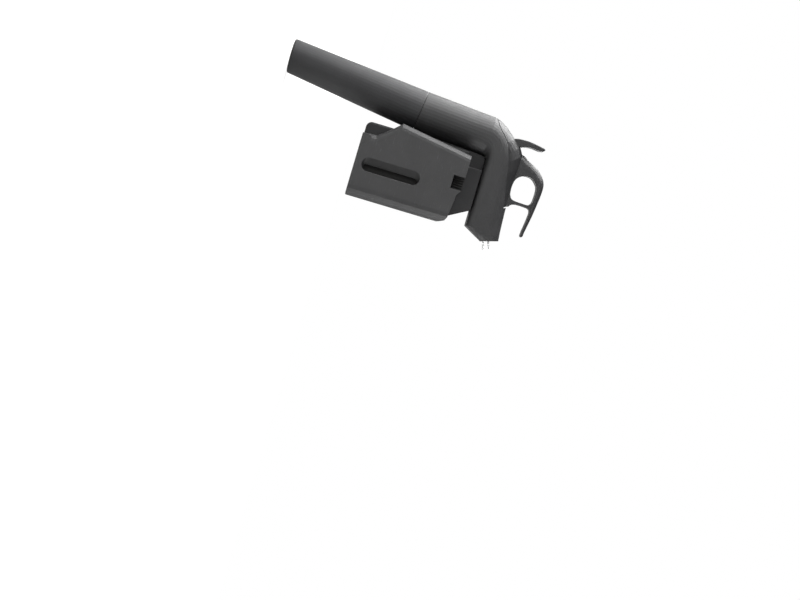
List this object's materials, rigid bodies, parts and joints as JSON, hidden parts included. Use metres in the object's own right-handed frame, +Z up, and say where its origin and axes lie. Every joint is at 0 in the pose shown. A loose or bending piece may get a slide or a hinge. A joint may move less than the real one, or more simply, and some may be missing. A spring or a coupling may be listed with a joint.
{
  "type": "wine preservation dispenser",
  "caption": "Hand-held wine dispenser that clamps on a bottle's neck, with a sliding hollow needle, a finger trigger, a spout and a gas cartridge in its tapered handle.",
  "frame": {"origin": "centre of the bottle's mouth, where the needle's axis meets the underside of the mouth seat", "axes": "+Z up along the needle and the bottle's neck, +X towards the spout, +Y to the left of someone who holds the handle"},
  "size_m": [0.1119, 0.053, 0.2119],
  "materials": {
    "charcoal_plastic": "fine-grained matte moulding",
    "dark_plastic": "matte glass-filled moulding",
    "rubber": "soft matte rubber",
    "pale_plastic": "smooth acetal",
    "stainless_steel": "fine ground steel",
    "brass": "turned brass",
    "aluminium": "machined aluminium"
  },
  "bodies": {
    "clamp": {"clamp_frame": "dark_plastic", "mouth_seat": "rubber", "needle_guide": "pale_plastic", "hinge_pin_right": "stainless_steel", "hinge_pin_left": "stainless_steel", "clamp_spring_right": "stainless_steel", "clamp_spring_left": "stainless_steel"},
    "arm_right": {"arm_right": "charcoal_plastic", "grip_pad_right": "rubber"},
    "arm_left": {"arm_left": "charcoal_plastic", "grip_pad_left": "rubber"},
    "head": {"head_shell_right": "charcoal_plastic", "head_shell_left": "charcoal_plastic", "shell_screw_rear": "stainless_steel", "shell_screw_front": "stainless_steel", "slide_rail": "stainless_steel", "rail_screw_right": "stainless_steel", "rail_screw_left": "stainless_steel", "valve_body": "aluminium", "needle_hub": "stainless_steel", "needle_seal": "rubber", "needle": "stainless_steel", "spout_tube": "pale_plastic", "spout_collar": "dark_plastic", "gas_tube": "stainless_steel", "regulator_body": "brass", "regulator_cap": "brass", "regulator_spring": "stainless_steel", "threaded_collar": "aluminium", "piercing_pin": "stainless_steel", "capsule_seal": "rubber", "valve_spring": "stainless_steel", "trigger_pin": "stainless_steel"},
    "trigger": {"trigger": "charcoal_plastic"},
    "valve": {"valve_stem": "stainless_steel", "valve_seal": "rubber"},
    "piston": {"regulator_piston": "brass"},
    "capsule": {"gas_capsule": "stainless_steel", "cup_cushion": "rubber"},
    "cup": {"capsule_cup": "charcoal_plastic"}
  },
  "joints": [
    {"name": "head_travel", "type": "slide", "parent": "clamp", "child": "head", "axis": [0, 0, 1], "range_m": [0, 0.062]},
    {"name": "arm_right_swing", "type": "hinge", "parent": "clamp", "child": "arm_right", "pos_m": [-0.023, -0.0175, 0], "axis": [0, 0, -1], "range_deg": [0, 16], "stiffness_Nm_per_rad": 0.5, "springref_deg": -20.05, "deforming": ["clamp_spring_right"]},
    {"name": "arm_left_swing", "type": "hinge", "parent": "clamp", "child": "arm_left", "pos_m": [-0.023, 0.0175, 0], "axis": [0, 0, 1], "range_deg": [0, 16], "stiffness_Nm_per_rad": 0.5, "springref_deg": -20.05, "deforming": ["clamp_spring_left"]},
    {"name": "trigger_press", "type": "hinge", "parent": "head", "child": "trigger", "pos_m": [-0.04038, 0, 0.03886], "axis": [0, 1, 0], "range_deg": [0, 4], "stiffness_Nm_per_rad": 0.15, "springref_deg": -17.19},
    {"name": "valve_travel", "type": "slide", "parent": "head", "child": "valve", "axis": [0, 0, -1], "range_m": [0, 0.00165], "deforming": ["valve_spring"]},
    {"name": "piston_travel", "type": "slide", "parent": "head", "child": "piston", "axis": [0.1132, 0, 0.9936], "range_m": [0, 0.0008], "stiffness_N_per_m": 800, "springref_m": -0.005, "deforming": ["regulator_spring"]},
    {"name": "capsule_advance", "type": "slide", "parent": "head", "child": "capsule", "axis": [-0.1132, 0, -0.9936], "range_m": [0, 0.008]},
    {"name": "cup_turn", "type": "hinge", "parent": "capsule", "child": "cup", "pos_m": [-0.0543, 0, -0.0238], "axis": [0.1132, 0, 0.9936], "range_deg": [0, 1445]}
  ],
  "couplings": [
    {"joint": "valve_travel", "follows": "trigger_press", "m_per_rad": 0.022572},
    {"joint": "cup_turn", "follows": "capsule_advance", "rad_per_m": 3141.6}
  ]
}
